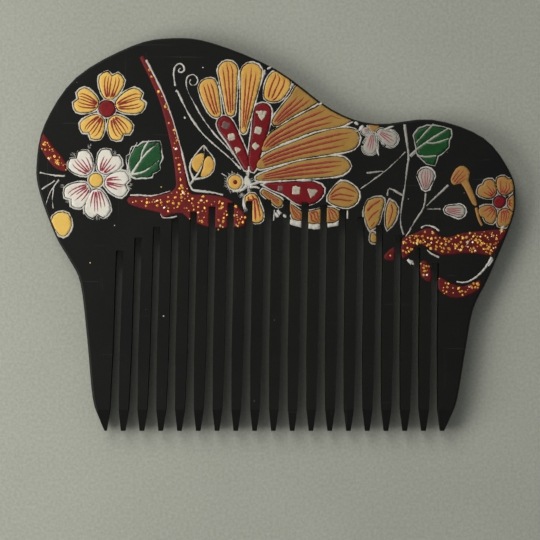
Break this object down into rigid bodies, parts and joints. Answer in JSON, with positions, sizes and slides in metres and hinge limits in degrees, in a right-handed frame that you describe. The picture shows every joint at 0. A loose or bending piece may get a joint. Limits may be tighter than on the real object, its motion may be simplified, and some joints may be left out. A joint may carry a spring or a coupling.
{
  "type": "decorative hair comb",
  "caption": "Flat two-shouldered black lacquer hair comb with sawn teeth and a face inlaid with a butterfly, blossoms, leaves, buds and gold-flecked branches.",
  "frame": {"origin": "middle of the back's bounding rectangle, on the back face", "axes": "+Z out of the decorated face, +Y towards the crown, teeth point along -Y, +X across the comb towards its lower shoulder"},
  "size_m": [0.1001, 0.082, 0.0051],
  "materials": {
    "black_lacquer": "polished black lacquer",
    "gold_yellow": "gold-yellow lacquer colour with dark red hair lines",
    "orange_gold": "orange-gold lacquer colour with dark red strokes",
    "deep_red": "deep red lacquer colour",
    "bark_red": "brown-red lacquer colour",
    "leaf_green": "green lacquer colour",
    "petal_white": "off-white lacquer colour with pink strokes",
    "white_line": "off-white raised brush line",
    "gold_flake": "bright metal foil",
    "shell": "pale iridescent shell"
  },
  "bodies": {
    "root": {"comb_body": "black_lacquer", "branch_left_end": "bark_red", "branch_main": "bark_red", "branch_right": "bark_red", "branch_right_lower": "bark_red", "gold_flakes_left_end": "gold_flake", "gold_flakes_main": "gold_flake", "gold_flakes_right": "gold_flake", "gold_flakes_right_lower": "gold_flake", "blossom_gold_petals": "gold_yellow", "blossom_gold_centre": "deep_red", "blossom_white_petals": "petal_white", "blossom_white_centre": "gold_yellow", "blossom_edge_petals": "gold_yellow", "blossom_edge_centre": "deep_red", "blossom_half_petals": "petal_white", "blossom_half_centre": "orange_gold", "leaf_left": "leaf_green", "leaf_right": "leaf_green", "bud_edge": "gold_yellow", "bud_pair": "gold_yellow", "bud_pink_upper": "petal_white", "bud_pink_lower": "petal_white", "trumpet_flower": "orange_gold", "lobed_leaf": "orange_gold", "wing_cells_upper": "gold_yellow", "wing_cells_side": "gold_yellow", "wing_cells_hind": "gold_yellow", "wing_panel_left": "deep_red", "wing_panel_middle": "deep_red", "wing_panel_lower": "deep_red", "shell_chip_1": "shell", "shell_chip_2": "shell", "shell_chip_3": "shell", "shell_chip_4": "shell", "shell_chip_5": "shell", "shell_chip_6": "shell", "shell_chip_7": "shell", "shell_chip_8": "shell", "shell_chip_9": "shell", "butterfly_head": "gold_yellow", "butterfly_pupil": "deep_red", "butterfly_abdomen": "gold_yellow", "butterfly_thorax": "petal_white", "line_butterfly": "white_line", "line_antennae": "white_line", "line_blossom_gold": "white_line", "line_blossom_white": "white_line", "line_blossom_edge": "white_line", "line_leaf_left": "white_line", "line_leaf_right": "white_line", "line_buds": "white_line", "line_stems_left": "white_line", "line_stems_right": "white_line", "line_lobed_leaf": "white_line", "line_branches": "white_line"}
  },
  "joints": []
}
